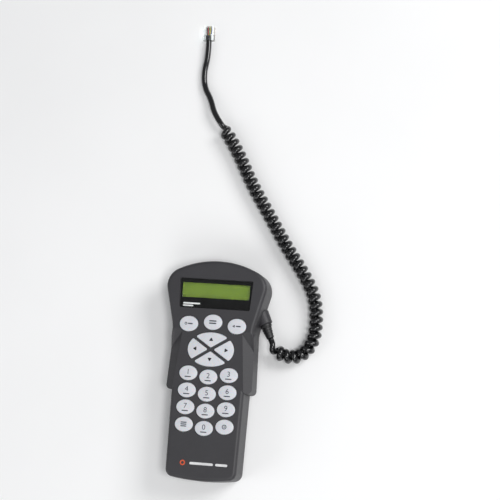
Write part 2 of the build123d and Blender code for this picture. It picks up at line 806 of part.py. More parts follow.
near_run = 9.0            # straight run of the cord out of its strain relief
coil_start_z = 9.0        # the coil comes down to rest from its start near the strain relief

near_points = [relief_tip_point, relief_tip_point + exit_direction * near_run]
coil_points = [
    Vector(58.0, 17.8, coil_start_z),
    Vector(73.0, 18.2, coil_z),
    Vector(83.4, 31.5, coil_z),
    Vector(84.6, 51.0, coil_z),
    Vector(81.4, 71.5, coil_z),
    Vector(69.8, 91.0, coil_z),
    Vector(52.5, 114.0, coil_z),
    Vector(35.4, 140.5, coil_z),
    Vector(18.2, 166.0, coil_z),
    Vector(4.0, 193.0, coil_z),
    Vector(-9.4, 213.0, coil_z),
]
far_points = [
    Vector(-21.5, 228.5, coil_z),
    Vector(-26.0, 241.5, 4.2),
    Vector(-33.2, 252.5, lead_z),
    Vector(-35.0, 266.5, lead_z),
    Vector(-32.2, 281.5, plug_entry_z),
    Vector(-33.0, 295.0, plug_entry_z),
]
route = near_points + coil_points + far_points


def corner_radius(index):
    """The largest arc that the two runs beside a corner of the route leave room for."""
    before = route[index] - route[index - 1]
    after = route[index + 1] - route[index]
    half_turn = math.radians(before.get_angle(after) / 2)
    return 0.45 * min(before.length, after.length) / math.tan(half_turn)


def tube(path_points, radii, tube_radius):
    """A round tube along straight runs joined by arcs."""
    with BuildPart() as piece:
        with BuildLine() as path:
            FilletPolyline(*path_points, radius=radii)
        wire = path.wire()
        with BuildSketch(Plane(origin=wire @ 0, z_dir=wire % 0)):
            Circle(tube_radius)
        sweep(path=wire)
    return piece


radii = [corner_radius(i) for i in range(1, len(route) - 1)]
coil_first = len(near_points)
coil_last = coil_first + len(coil_points) - 1
coil_start = (route[coil_first - 1] + route[coil_first]) / 2
coil_end = (route[coil_last] + route[coil_last + 1]) / 2
cord_lead_near = tube(near_points + [coil_start], radii[: coil_first - 1], cord_diameter / 2)
cord_coil = tube([coil_start] + coil_points + [coil_end], radii[coil_first - 1 : coil_last], coil_diameter / 2)
cord_lead_far = tube([coil_end] + far_points, radii[coil_last:], cord_diameter / 2)

# Inside the case the cord's bared wires run in a bundle round to their connector on the board.
wires_start = exit_point - exit_direction * relief_inside
wires_radius = 1.3
wires_bends = [6.0, 7.0, 6.0]
connector_end = Vector(connector_place[0], connector_place[1] + connector_size[1] / 2,
                       board_back_z - connector_size[2] / 2)
wires_points = [
    wires_start,
    wires_start - exit_direction * 9.0,
    Vector(22.0, 66.0, 15.0),
    connector_end + Vector(0, 12.0, 0),
    connector_end,
]
inner_wires = tube(wires_points, wires_bends, wires_radius)

# The modular plug lies in line with the cord's last run, its latch upwards.
plug_width, plug_height, plug_length = plug_size
plug_axis = (route[-1] - route[-2]).normalized()
plug_side = Vector(plug_axis.Y, -plug_axis.X, 0)
plug_plane = Plane(origin=(route[-1].X, route[-1].Y, 0.1), x_dir=plug_side, z_dir=(0, 0, 1))
plug_profile_plane = Plane(origin=plug_plane.origin, x_dir=plug_axis, z_dir=plug_side)
plug_contact_count = 6
plug_contact_pitch = 1.02
plug_contact_slot = (0.5, 6.6, 1.6)
plug_contact_recess = 0.3
plug_nose = (1.0, 1.4)           # the slope over the plug's nose
plug_keel = (7.4, 8.6, 0.6)      # the step under its rear

with BuildPart() as plug_body:
    with BuildSketch(plug_profile_plane):
        with BuildLine():
            Polyline(
                (0, plug_keel[2]),
                (0, plug_height),
                (plug_length - plug_nose[0], plug_height),
                (plug_length, plug_height - plug_nose[1]),
                (plug_length, 0),
                (plug_length - plug_keel[0], 0),
                (plug_length - plug_keel[1], plug_keel[2]),
                close=True,
            )
        make_face()
    extrude(amount=plug_width / 2, both=True)
    with BuildSketch(plug_plane):
        with Locations((0, plug_length - plug_contact_slot[1] / 2)):
            with GridLocations(plug_contact_pitch, 1, plug_contact_count, 1):
                Rectangle(plug_contact_slot[0], plug_contact_slot[1])
    extrude(amount=plug_contact_slot[2], mode=Mode.SUBTRACT)

with BuildPart() as plug_contacts:
    with BuildSketch(plug_plane.offset(plug_contact_recess)):
        with Locations((0, plug_length - plug_contact_slot[1] / 2)):
            with GridLocations(plug_contact_pitch, 1, plug_contact_count, 1):
                Rectangle(plug_contact_slot[0] - 0.1, plug_contact_slot[1] - 0.6)
    extrude(amount=plug_contact_slot[2] - plug_contact_recess)

# The plug's latch is a springy tongue on its upper face, hinged at the nose and free at the rear.
latch_hinge = (plug_length - 1.6, plug_height + 0.12)
latch_length = 12.4
latch_rise = 2.6
latch_width = 5.6
latch_nose_width = 3.2
latch_thickness = 0.9
latch_nose_length = 8.0
latch_side_cut = (latch_width - latch_nose_width) / 2 + 1.2

with BuildPart() as plug_latch:
    with BuildSketch(plug_profile_plane):
        with BuildLine():
            Polyline(
                latch_hinge,
                (latch_hinge[0] - latch_length, latch_hinge[1] + latch_rise),
                (latch_hinge[0] - latch_length, latch_hinge[1] + latch_rise + latch_thickness),
                (latch_hinge[0], latch_hinge[1] + latch_thickness),
                close=True,
            )
        make_face()
    extrude(amount=latch_width / 2, both=True)
    with BuildSketch(plug_plane.offset(plug_height)):
        with Locations((0, plug_length - latch_nose_length / 2)):
            with GridLocations(latch_nose_width + latch_side_cut, 1, 2, 1):
                Rectangle(latch_side_cut, latch_nose_length)
    extrude(amount=latch_rise + 2.0, mode=Mode.SUBTRACT)
    fillet(plug_latch.edges().filter_by(Axis.Z), 0.3)

# ---- Written pieces ----------------------------------------------------------------------------------------
pieces = {
    "front_shell": front_shell,
    "rear_shell": rear_shell,
    "rear_label": rear_label,
    "case_screws": case_screws,
    "display_window": display_window,
    "lcd_bezel": lcd_bezel,
    "lcd_glass": lcd_glass,
    "lcd_backlight": lcd_backlight,
    "lcd_contact_strips": lcd_contact_strips,
    "lcd_board": lcd_board,
    "lcd_screws": lcd_screws,
    "lcd_ribbon": lcd_ribbon,
    "main_board": main_board,
    "board_screws": board_screws,
    "microcontroller": microcontroller,
    "memory_chip": memory_chip,
    "regulator": regulator,
    "crystal": crystal,
    "capacitors": capacitors,
    "key_lights": key_lights,
    "cord_connector": cord_connector,
    "data_jack": data_jack,
    "jack_contacts": jack_contacts,
    "keypad_mat": keypad_mat,
    "strain_relief": strain_relief,
    "cord_lead_near": cord_lead_near,
    "cord_coil": cord_coil,
    "cord_lead_far": cord_lead_far,
    "plug_body": plug_body,
    "plug_contacts": plug_contacts,
    "plug_latch": plug_latch,
    "inner_wires": inner_wires,
    **keys,
}
for name, piece in pieces.items():
    piece.part.label = name
    export_step(piece.part, f"parts/{name}.step")
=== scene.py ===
import json
import math

import bmesh
import bpy
from mathutils import Matrix, Vector


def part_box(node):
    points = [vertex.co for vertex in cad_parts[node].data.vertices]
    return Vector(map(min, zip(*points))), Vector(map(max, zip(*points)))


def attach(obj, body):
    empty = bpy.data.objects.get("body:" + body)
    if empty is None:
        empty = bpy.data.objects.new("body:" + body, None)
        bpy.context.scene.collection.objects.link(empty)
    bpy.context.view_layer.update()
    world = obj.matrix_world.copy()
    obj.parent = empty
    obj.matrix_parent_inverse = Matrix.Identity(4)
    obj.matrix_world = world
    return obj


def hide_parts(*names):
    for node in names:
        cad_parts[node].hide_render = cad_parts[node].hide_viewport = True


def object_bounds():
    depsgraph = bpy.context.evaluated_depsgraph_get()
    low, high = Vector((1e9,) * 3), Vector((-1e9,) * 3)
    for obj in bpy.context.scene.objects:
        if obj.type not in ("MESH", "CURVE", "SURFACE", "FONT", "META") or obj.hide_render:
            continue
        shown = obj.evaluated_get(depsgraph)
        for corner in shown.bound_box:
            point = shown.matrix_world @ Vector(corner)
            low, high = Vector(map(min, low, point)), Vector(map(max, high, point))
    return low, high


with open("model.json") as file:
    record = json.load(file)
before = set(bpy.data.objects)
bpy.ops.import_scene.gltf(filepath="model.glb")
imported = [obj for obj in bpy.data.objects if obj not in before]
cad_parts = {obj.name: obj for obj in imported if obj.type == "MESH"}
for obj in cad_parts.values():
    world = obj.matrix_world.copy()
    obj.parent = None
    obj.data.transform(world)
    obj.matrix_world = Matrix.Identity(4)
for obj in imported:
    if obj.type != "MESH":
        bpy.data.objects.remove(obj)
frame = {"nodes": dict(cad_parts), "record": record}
cad_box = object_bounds()
nodes = frame["nodes"]
MM = 0.001


def middle(node):
    """Centre of a CAD node's box."""
    low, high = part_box(node)
    return (Vector(low) + Vector(high)) / 2


# ---- Camera -------------------------------------------------------------------------------------------
VIEW_BACK = Vector((0.206, -0.139, 0.969)).normalized()    # from the controller towards the camera
VIEW_LEAN = math.radians(4.85)                             # the controller leans this far to the right
VIEW_DISTANCE = 1.6
VIEW_WIDTH = 0.432
SENSOR_WIDTH = 36.0


def add_camera():
    """A long lens at the viewing angle, with the controller and its whole cord in view."""
    upright = (Vector((0, 1, 0)) - VIEW_BACK * VIEW_BACK.y).normalized()
    up = Matrix.Rotation(VIEW_LEAN, 3, VIEW_BACK) @ upright
    right = up.cross(VIEW_BACK)
    centre = (cad_box[0] + cad_box[1]) / 2
    data = bpy.data.cameras.new("camera")
    data.sensor_width = SENSOR_WIDTH
    data.lens = SENSOR_WIDTH * VIEW_DISTANCE / VIEW_WIDTH
    data.clip_start, data.clip_end = 0.05, 20.0
    camera = bpy.data.objects.new("camera", data)
    turn = Matrix((right, up, VIEW_BACK)).transposed().to_4x4()
    camera.matrix_world = Matrix.Translation(centre + VIEW_BACK * VIEW_DISTANCE) @ turn
    bpy.context.collection.objects.link(camera)
    bpy.context.scene.camera = camera


# ---- Materials: common steps --------------------------------------------------------------------------
class Look:
    """A node material, with short ways to add to it."""

    def __init__(self, name):
        self.material = bpy.data.materials.new(name)
        self.material.use_nodes = True
        self.tree = self.material.node_tree
        self.shader = self.tree.nodes["Principled BSDF"]
        self.output = self.tree.nodes["Material Output"]
        self.place = self.tree.nodes.new("ShaderNodeTexCoord").outputs["Object"]

    def join(self, source, target):
        self.tree.links.new(source, target)

    def add(self, kind, **settings):
        made = self.tree.nodes.new(kind)
        for key, value in settings.items():
            setattr(made, key, value)
        return made

    def set(self, **values):
        """Plain values on the shader's own sockets, with spaces written as underscores."""
        for key, value in values.items():
            self.shader.inputs[key.replace("_", " ")].default_value = value

    def noise(self, scale, detail=3.0, stretch=None):
        """Noise of so many lumps per metre, optionally stretched along the axes."""
        made = self.add("ShaderNodeTexNoise")
        made.inputs["Scale"].default_value = scale
        made.inputs["Detail"].default_value = detail
        place = self.place
        if stretch:
            scaled = self.add("ShaderNodeMapping")
            scaled.inputs["Scale"].default_value = stretch
            self.join(place, scaled.inputs["Vector"])
            place = scaled.outputs["Vector"]
        self.join(place, made.inputs["Vector"])
        return made.outputs["Fac"]

    def calculate(self, operation, first, second=0.0):
        """One sum of numbers or sockets."""
        made = self.add("ShaderNodeMath", operation=operation)
        for socket, value in zip(made.inputs, (first, second)):
            if isinstance(value, (int, float)):
                socket.default_value = value
            else:
                self.join(value, socket)
        return made.outputs["Value"]

    def tones(self, source, *stops):
        """Colours along a source that runs from 0 to 1: pairs of place and colour."""
        made = self.add("ShaderNodeValToRGB")
        ramp = made.color_ramp
        while len(ramp.elements) < len(stops):
            ramp.elements.new(1.0)
        for element, (place, colour) in zip(ramp.elements, stops):
            element.position = place
            element.color = (*colour, 1.0)
        self.join(source, made.inputs["Fac"])
        return made.outputs["Color"]

    def blend(self, factor, first, second):
        """Two colour sockets or colours mixed by a factor socket."""
        made = self.add("ShaderNodeMix", data_type="RGBA")
        self.join(factor, made.inputs["Factor"])
        colour_inputs = [s for s in made.inputs if s.type == "RGBA"]
        for socket, value in zip(colour_inputs, (first, second)):
            if isinstance(value, tuple):
                socket.default_value = (*value, 1.0)
            else:
                self.join(value, socket)
        return [s for s in made.outputs if s.type == "RGBA"][0]

    def colour(self, source):
        self.join(source, self.shader.inputs["Base Color"])

    def spread(self, source, low, high):
        """A source that runs from 0 to 1 brought to a range."""
        made = self.add("ShaderNodeMapRange")
        made.inputs["To Min"].default_value = low
        made.inputs["To Max"].default_value = high
        self.join(source, made.inputs["Value"])
        return made.outputs["Result"]

    def roughness(self, source, low, high):
        self.join(self.spread(source, low, high), self.shader.inputs["Roughness"])

    def relief(self, source, height, strength=1.0):
        """Bumps of so many metres."""
        made = self.add("ShaderNodeBump")
        made.inputs["Distance"].default_value = height
        made.inputs["Strength"].default_value = strength
        self.join(source, made.inputs["Height"])
        self.join(made.outputs["Normal"], self.shader.inputs["Normal"])


def moulded(name, dark, light, grain, roughness, relief, metallic=0.0):
    """A look with patches between two tones, and a fine grain in gloss and relief."""
    look = Look(name)
    look.colour(look.tones(look.noise(grain / 14), (0.35, dark), (0.68, light)))
    fine = look.noise(grain)
    look.roughness(fine, *roughness)
    look.relief(fine, relief)
    look.set(Metallic=metallic)
    return look


def see_through(look, tint, ior):
    """Makes a look clear, and lets lamps through to what is behind it."""
    look.set(Transmission_Weight=1.0, IOR=ior, Base_Color=(*tint, 1.0))
    passing = look.add("ShaderNodeBsdfTransparent")
    passing.inputs["Color"].default_value = (*tint, 1.0)
    rays = look.add("ShaderNodeLightPath")
    mixed = look.add("ShaderNodeMixShader")
    look.join(rays.outputs["Is Shadow Ray"], mixed.inputs[0])
    look.join(look.shader.outputs["BSDF"], mixed.inputs[1])
    look.join(passing.outputs["BSDF"], mixed.inputs[2])
    look.join(mixed.outputs["Shader"], look.output.inputs["Surface"])


# ---- Materials: each slot of the record ---------------------------------------------------------------
def case_look():
    """Charcoal ABS with a fine spark-eroded grain."""
    look = Look("case_charcoal")
    dark, light = (0.028, 0.027, 0.031), (0.035, 0.034, 0.039)
    patches = look.tones(look.noise(45.0, 4.0), (0.3, dark), (0.72, light))
    grain = look.noise(2600.0, 2.0)
    speck = look.tones(grain, (0.30, (0.018, 0.018, 0.020)), (0.55, (0.056, 0.055, 0.058)))
    share = look.spread(look.noise(900.0), 0.15, 0.45)
    look.colour(look.blend(share, patches, speck))
    look.roughness(look.noise(700.0), 0.40, 0.56)
    look.relief(grain, 0.05 * MM, 0.6)
    return look


def key_look():
    """Pale satin silicone, a little translucent."""
    look = Look("key_silicone")
    dark, light = (0.585, 0.595, 0.635), (0.655, 0.665, 0.695)
    look.colour(look.tones(look.noise(160.0), (0.3, dark), (0.75, light)))
    fine = look.noise(3200.0, 2.0)
    look.roughness(look.noise(420.0), 0.36, 0.50)
    look.relief(fine, 0.012 * MM, 0.5)
    look.set(Subsurface_Weight=0.10, Subsurface_Scale=0.0015)
    return look


def window_look():
    """Polished clear acrylic with faint wiping marks."""
    look = Look("window_acrylic")
    look.roughness(look.noise(70.0, 6.0, (1.0, 5.0, 1.0)), 0.015, 0.055)
    see_through(look, (0.93, 0.95, 0.94), 1.49)
    return look


LCD_CELL = (3.55 * MM, 5.95 * MM)      # one character's place
LCD_GLYPH = (2.95 * MM, 5.55 * MM)     # one character
LCD_CELLS = (16, 2)
LCD_DOTS = (5, 8)
LCD_DOT_GAP = 0.10                     # of the distance between dots
LCD_UNLIT = 0.30                       # how much an unlit dot shows
LCD_UNLIT_TONE = (0.071, 0.113, 0.010)


def lcd_look():
    """Yellow-green liquid crystal glass, on which the unlit character cells just show."""
    look = Look("lcd_green")
    split = look.add("ShaderNodeSeparateXYZ")
    look.join(look.place, split.inputs["Vector"])
    centre = middle("lcd_glass")
    in_cell = None
    for axis in (0, 1):
        offset = look.calculate("SUBTRACT", split.outputs[axis], centre[axis])
        half_field = LCD_CELL[axis] * LCD_CELLS[axis] / 2
        inside = look.calculate("LESS_THAN", look.calculate("ABSOLUTE", offset), half_field)
        cell = look.calculate("FRACT", look.calculate("DIVIDE", offset, LCD_CELL[axis]))
        from_middle = look.calculate("ABSOLUTE", look.calculate("SUBTRACT", cell, 0.5))
        glyph = look.calculate("LESS_THAN", from_middle, LCD_GLYPH[axis] / LCD_CELL[axis] / 2)
        dot = look.calculate("FRACT", look.calculate("DIVIDE", offset, LCD_GLYPH[axis] / LCD_DOTS[axis]))
        solid = look.calculate("GREATER_THAN", dot, LCD_DOT_GAP)
        here = look.calculate("MULTIPLY", look.calculate("MULTIPLY", inside, glyph), solid)
        in_cell = here if in_cell is None else look.calculate("MULTIPLY", in_cell, here)
    dark, light = (0.102, 0.156, 0.0145), (0.118, 0.178, 0.018)
    glow = look.tones(look.noise(55.0), (0.3, dark), (0.7, light))
    cells = look.calculate("MULTIPLY", in_cell, LCD_UNLIT)
    look.colour(look.blend(cells, glow, LCD_UNLIT_TONE))
    look.roughness(look.noise(300.0), 0.20, 0.30)
    look.relief(look.noise(1500.0), 0.004 * MM)
    return look


def board_look():
    """Green solder mask over etched tracks."""
    look = Look("board_green")
    tracks = look.add("ShaderNodeTexBrick")
    tracks.inputs["Scale"].default_value = 90.0
    tracks.inputs["Mortar Size"].default_value = 0.035
    tracks.inputs["Color1"].default_value = (0.012, 0.095, 0.035, 1.0)
    tracks.inputs["Color2"].default_value = (0.016, 0.115, 0.042, 1.0)
    tracks.inputs["Mortar"].default_value = (0.040, 0.210, 0.085, 1.0)
    look.join(look.place, tracks.inputs["Vector"])
    look.colour(tracks.outputs["Color"])
    look.roughness(look.noise(600.0), 0.22, 0.38)
    look.relief(tracks.outputs["Fac"], 0.03 * MM)
    return look


def cord_look():
    """Glossy black jacket."""
    look = Look("cord_black")
    look.colour(look.tones(look.noise(120.0), (0.3, (0.005, 0.005, 0.006)), (0.7, (0.010, 0.010, 0.011))))
    look.roughness(look.noise(500.0), 0.08, 0.16)
    look.relief(look.noise(2200.0), 0.010 * MM, 0.5)
    look.set(Coat_Weight=0.4, Coat_Roughness=0.06)
    return look


def relief_look():
    """Satin black rubber of the strain relief."""
    dark, light = (0.012, 0.012, 0.013), (0.022, 0.022, 0.023)
    return moulded("relief_black", dark, light, 1800.0, (0.38, 0.55), 0.02 * MM)


def plug_look():
    """Clear polycarbonate."""
    look = Look("plug_clear")
    look.roughness(look.noise(400.0), 0.03, 0.12)
    see_through(look, (0.92, 0.94, 0.94), 1.58)
    return look


def label_look():
    """Silver polyester label, finely brushed across."""
    look = Look("label_silver")
    brushed = look.noise(300.0, 2.0, (0.3, 12.0, 1.0))
    look.colour(look.tones(brushed, (0.3, (0.42, 0.42, 0.43)), (0.7, (0.56, 0.56, 0.57))))
    look.roughness(brushed, 0.32, 0.48)
    look.relief(brushed, 0.008 * MM)
    look.set(Metallic=0.6)
    return look


LOOKS = {
    "case": case_look,
    "key_cap": key_look,
    "window": window_look,
    "lcd": lcd_look,
    "circuit_board": board_look,
    "cord": relief_look,
    "plug": plug_look,
    "label": label_look,
}
# For each remaining slot: two tones, grain per metre, range of roughness, relief in metres, and how metallic.
MOULDED = {
    "bezel": ((0.012, 0.012, 0.013), (0.020, 0.020, 0.021), 1500.0, (0.35, 0.50), 0.01 * MM, 0.3),
    "light_guide": ((0.70, 0.76, 0.52), (0.82, 0.86, 0.62), 400.0, (0.25, 0.40), 0.01 * MM, 0.0),
    "conductive_rubber": ((0.030, 0.030, 0.032), (0.070, 0.070, 0.074), 2500.0, (0.55, 0.75), 0.03 * MM, 0.0),
    "ribbon": ((0.58, 0.58, 0.55), (0.72, 0.72, 0.68), 900.0, (0.45, 0.60), 0.02 * MM, 0.0),
    "chip": ((0.014, 0.014, 0.015), (0.028, 0.028, 0.030), 2400.0, (0.48, 0.68), 0.02 * MM, 0.0),
    "crystal_can": ((0.52, 0.52, 0.53), (0.66, 0.66, 0.67), 1200.0, (0.22, 0.36), 0.01 * MM, 1.0),
    "capacitor": ((0.060, 0.070, 0.140), (0.095, 0.110, 0.200), 900.0, (0.28, 0.42), 0.01 * MM, 0.0),
    "key_light": ((0.55, 0.03, 0.02), (0.75, 0.07, 0.04), 900.0, (0.18, 0.30), 0.01 * MM, 0.0),
    "connector": ((0.66, 0.63, 0.53), (0.76, 0.73, 0.63), 1200.0, (0.40, 0.55), 0.02 * MM, 0.0),
    "jack": ((0.014, 0.014, 0.015), (0.026, 0.026, 0.028), 1400.0, (0.30, 0.45), 0.02 * MM, 0.0),
    "contacts": ((0.62, 0.42, 0.12), (0.80, 0.58, 0.22), 1600.0, (0.16, 0.30), 0.01 * MM, 1.0),
    "mat": ((0.20, 0.20, 0.215), (0.27, 0.27, 0.285), 1600.0, (0.55, 0.70), 0.03 * MM, 0.0),
    "wires": ((0.36, 0.05, 0.04), (0.52, 0.09, 0.07), 900.0, (0.35, 0.50), 0.02 * MM, 0.0),
    "screws": ((0.40, 0.40, 0.41), (0.58, 0.58, 0.59), 1700.0, (0.24, 0.40), 0.02 * MM, 1.0),
}


def dress_nodes():
    """Gives every CAD node the look of its slot."""
    made = {}
    for part in frame["record"]["subparts"]:
        slot = part["material_slot"]
        if slot not in made:
            made[slot] = (LOOKS[slot]() if slot in LOOKS else moulded(slot, *MOULDED[slot])).material
        piece = nodes[part["node"]]
        if not piece.material_slots:
            piece.data.materials.append(made[slot])
        for material_slot in piece.material_slots:
            material_slot.material = made[slot]


# ---- Printed marks ------------------------------------------------------------------------------------
def bar(x, y, width, height, steps=6):
    """Outline of a bar with round ends."""
    radius = height / 2
    reach = width / 2 - radius
    outline = []
    for end_x, first_angle in ((x + reach, -math.pi / 2), (x - reach, math.pi / 2)):
        for i in range(steps + 1):
            angle = first_angle + math.pi * i / steps
            outline.append((end_x + radius * math.cos(angle), y + radius * math.sin(angle)))
    return outline


def disc(x, y, radius, steps=36):
    """Outline of a disc."""
    angles = [2 * math.pi * i / steps for i in range(steps)]
    return [(x + radius * math.cos(a), y + radius * math.sin(a)) for a in angles]


def rounded(corners, radius, steps=5):
    """Outline through corners given anticlockwise, each rounded."""
    outline = []
    for i, corner in enumerate(corners):
        here = Vector(corner)
        back = (Vector(corners[i - 1]) - here).normalized()
        ahead = (Vector(corners[(i + 1) % len(corners)]) - here).normalized()
        half = back.angle(ahead) / 2
        centre = here + (back + ahead).normalized() * (radius / math.sin(half))
        start = here + back * (radius / math.tan(half)) - centre
        sweep = math.pi - 2 * half
        for k in range(steps + 1):
            turned = Matrix.Rotation(sweep * k / steps, 2) @ start
            outline.append(tuple(centre + turned))
    return outline


ARROW_CORNER = 0.18      # of an arrowhead's size


def arrowhead(x, y, size, turn):
    """Outline of a round-cornered triangle that points along turn."""
    angles = [turn + 2 * math.pi * i / 3 for i in range(3)]
    corners = [(x + size * math.cos(angle), y + size * math.sin(angle)) for angle in angles]
    return rounded(corners, size * ARROW_CORNER)


def flat_shape(curve):
    """The flat mesh that a curve or text fills."""
    holder = bpy.data.objects.new("shape", curve)
    bpy.context.collection.objects.link(holder)
    bpy.context.view_layer.update()
    mesh = bpy.data.meshes.new_from_object(holder.evaluated_get(bpy.context.evaluated_depsgraph_get()))
    bpy.data.objects.remove(holder)
    return mesh


def filled(*outlines):
    """A flat shape between closed outlines; one inside another is a hole."""
    curve = bpy.data.curves.new("shape", "CURVE")
    curve.dimensions = "2D"
    curve.fill_mode = "BOTH"
    for outline in outlines:
        spline = curve.splines.new("POLY")
        spline.points.add(len(outline) - 1)
        for point, (x, y) in zip(spline.points, outline):
            point.co = (x, y, 0.0, 1.0)
        spline.use_cyclic_u = True
    return flat_shape(curve)


def ring(x, y, outer_radius, inner_radius):
    """A ring's flat shape."""
    return filled(disc(x, y, outer_radius), disc(x, y, inner_radius))


DIGIT_SIZE = 6.3 * MM
DIGIT_BASE = 0.35        # a digit's middle above its base line, as a share of its size


def digit(text, x, y):
    """A digit's flat shape, centred."""
    curve = bpy.data.curves.new("shape", "FONT")
    curve.body = text
    curve.size = DIGIT_SIZE
    curve.align_x = "CENTER"
    curve.offset_x = x
    curve.offset_y = y - DIGIT_BASE * DIGIT_SIZE
    return flat_shape(curve)


INK = 0.03 * MM          # how far a print stands proud
INK_DEPTH = 0.08 * MM    # its whole thickness
SAME_PLACE = 0.001 * MM
FINE_EDGE = 0.7 * MM     # longest edge of a print on a domed surface
FLAT_EDGE = 2.0 * MM     # longest edge of a print on a flat one
MOST_CUTS = 8


def printed(name, shapes, height, look, body, longest=FINE_EDGE):
    """A print of flat shapes laid on a surface of the given height."""
    form = bmesh.new()
    for shape in shapes:
        form.from_mesh(shape)
    bmesh.ops.remove_doubles(form, verts=form.verts, dist=SAME_PLACE)
    bmesh.ops.triangulate(form, faces=form.faces)
    for _ in range(MOST_CUTS):
        long_edges = [edge for edge in form.edges if edge.calc_length() > longest]
        if not long_edges:
            break
        bmesh.ops.subdivide_edges(form, edges=long_edges, cuts=1)
        bmesh.ops.triangulate(form, faces=[face for face in form.faces if len(face.verts) > 3])
    form.normal_update()
    for face in form.faces:
        if face.normal.z < 0:
            face.normal_flip()
    for vertex in form.verts:
        vertex.co.z = height(vertex.co.x, vertex.co.y) + INK
    mesh = bpy.data.meshes.new(name)
    form.to_mesh(mesh)
    form.free()
    piece = bpy.data.objects.new(name, mesh)
    bpy.context.collection.objects.link(piece)
    thick = piece.modifiers.new("thickness", "SOLIDIFY")
    thick.thickness = INK_DEPTH
    thick.offset = -1.0
    mesh.materials.append(look.material)
    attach(piece, body)
    return piece


KEY_CROWN = 42.0 * MM
CROSS_CROWN = 160.0 * MM
CROSS_TOP = 34.7 * MM


def crown(centre, radius, top):
    """The height of a domed surface."""
    return lambda x, y: top - radius + math.sqrt(radius**2 - (x - centre.x) ** 2 - (y - centre.y) ** 2)


DIGIT_LIFT = 1.1 * MM
WORD_DROP = 3.2 * MM
WORD_SIZE = (5.6 * MM, 0.9 * MM)


def print_number_keys(ink):
    """A digit on each number key, with a short plain bar below it."""
    for number in "1234567890":
        name = "key_" + number
        centre = middle(name)
        shapes = [
            digit(number, centre.x, centre.y + DIGIT_LIFT),
            filled(bar(centre.x, centre.y - WORD_DROP, *WORD_SIZE)),
        ]
        printed("legend_" + number, shapes, crown(centre, KEY_CROWN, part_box(name)[1][2]), ink, name)


ICON_X = -2.3 * MM                     # of the icon beside a short bar
ICON_RADII = (1.2 * MM, 0.6 * MM)
ICON_ARROW = 1.5 * MM
SHORT_BAR_X = 1.5 * MM
SHORT_BAR = (4.2 * MM, 1.1 * MM)
WIDE_BAR = (6.4 * MM, 1.1 * MM)
WIDE_BAR_ROWS = (1.0 * MM, -1.0 * MM)
THIN_BAR = (5.2 * MM, 0.9 * MM)
THIN_BAR_ROWS = (-1.6 * MM, 0.0, 1.6 * MM)
TARGET_RADII = (2.0 * MM, 1.3 * MM)
TARGET_DOT = 0.6 * MM


def short_bar(x, y):
    return filled(bar(x + SHORT_BAR_X, y, *SHORT_BAR))


def ring_sign(x, y):
    return [ring(x + ICON_X, y, *ICON_RADII), short_bar(x, y)]


def arrow_sign(x, y):
    return [filled(arrowhead(x + ICON_X, y, ICON_ARROW, math.pi)), short_bar(x, y)]


def two_bars_sign(x, y):
    return [filled(bar(x, y + row, *WIDE_BAR)) for row in WIDE_BAR_ROWS]


def three_bars_sign(x, y):
    return [filled(bar(x, y + row, *THIN_BAR)) for row in THIN_BAR_ROWS]


def target_sign(x, y):
    return [ring(x, y, *TARGET_RADII), filled(disc(x, y, TARGET_DOT))]


SIGNS = {
    "key_top_left": ring_sign,
    "key_top_middle": two_bars_sign,
    "key_top_right": arrow_sign,
    "key_foot_left": three_bars_sign,
    "key_foot_right": target_sign,
}


def print_plain_keys(ink):
    """Plain signs on the keys without a digit."""
    for name, sign in SIGNS.items():
        centre = middle(name)
        surface = crown(centre, KEY_CROWN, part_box(name)[1][2])
        printed(name.replace("key", "legend"), sign(centre.x, centre.y), surface, ink, name)


ARROW_SIZE = 2.15 * MM
ACROSS_REACH, UP_REACH = 13.4 * MM, 8.3 * MM     # from the cross's centre to an arrowhead
ARROWS = {
    "key_right": (ACROSS_REACH, 0.0),
    "key_up": (UP_REACH, 90.0),
    "key_left": (ACROSS_REACH, 180.0),
    "key_down": (UP_REACH, 270.0),
}


def print_cross(ink):
    """An arrowhead on each key of the direction cross."""
    centre = (middle("key_left") + middle("key_right")) / 2
    surface = crown(centre, CROSS_CROWN, CROSS_TOP)
    for name, (reach, degrees) in ARROWS.items():
        turn = math.radians(degrees)
        x = centre.x + reach * math.cos(turn)
        y = centre.y + reach * math.sin(turn)
        shape = filled(arrowhead(x, y, ARROW_SIZE, turn))
        printed(name.replace("key", "legend"), [shape], surface, ink, name)


def level(height):
    """A flat surface at the given height."""
    return lambda _x, _y: height


FOOT_MARK_UP = 14.4 * MM               # above the case's foot
FOOT_RING_X = -16.0 * MM
FOOT_RING_RADII = (2.3 * MM, 1.25 * MM)
FOOT_BAR_HEIGHT = 2.1 * MM
FOOT_BARS = ((0.3 * MM, 20.5 * MM), (17.7 * MM, 10.6 * MM))     # middle and width


def print_case(pale, orange):
    """A plain ring and plain bars near the foot of the grip."""
    low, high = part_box("front_shell")
    y = low[1] + FOOT_MARK_UP
    face = level(high[2])
    mark = [ring(FOOT_RING_X, y, *FOOT_RING_RADII)]
    printed("case_mark_ring", mark, face, orange, "housing", FLAT_EDGE)
    bars = [filled(bar(x, y, width, FOOT_BAR_HEIGHT)) for x, width in FOOT_BARS]
    printed("case_mark_bars", bars, face, pale, "housing", FLAT_EDGE)


WINDOW_TOP_WIDTH = 64.0 * MM
WINDOW_FOOT_WIDTH = 61.4 * MM
BORDER_MARGIN = 0.3 * MM
BORDER_CORNER = 1.2 * MM
BORDER_EDGE = 4.0 * MM
OPENING = (59.0 * MM, 12.6 * MM)
OPENING_CORNER = 0.4 * MM
WINDOW_MARK_UP = 2.9 * MM              # above the window's foot
WINDOW_MARK_HEIGHT = 1.3 * MM
WINDOW_MARKS = ((-20.5 * MM, 0.9 * MM, 15.0 * MM), (-23.5 * MM, -1.1 * MM, 9.0 * MM))     # x, rise and width


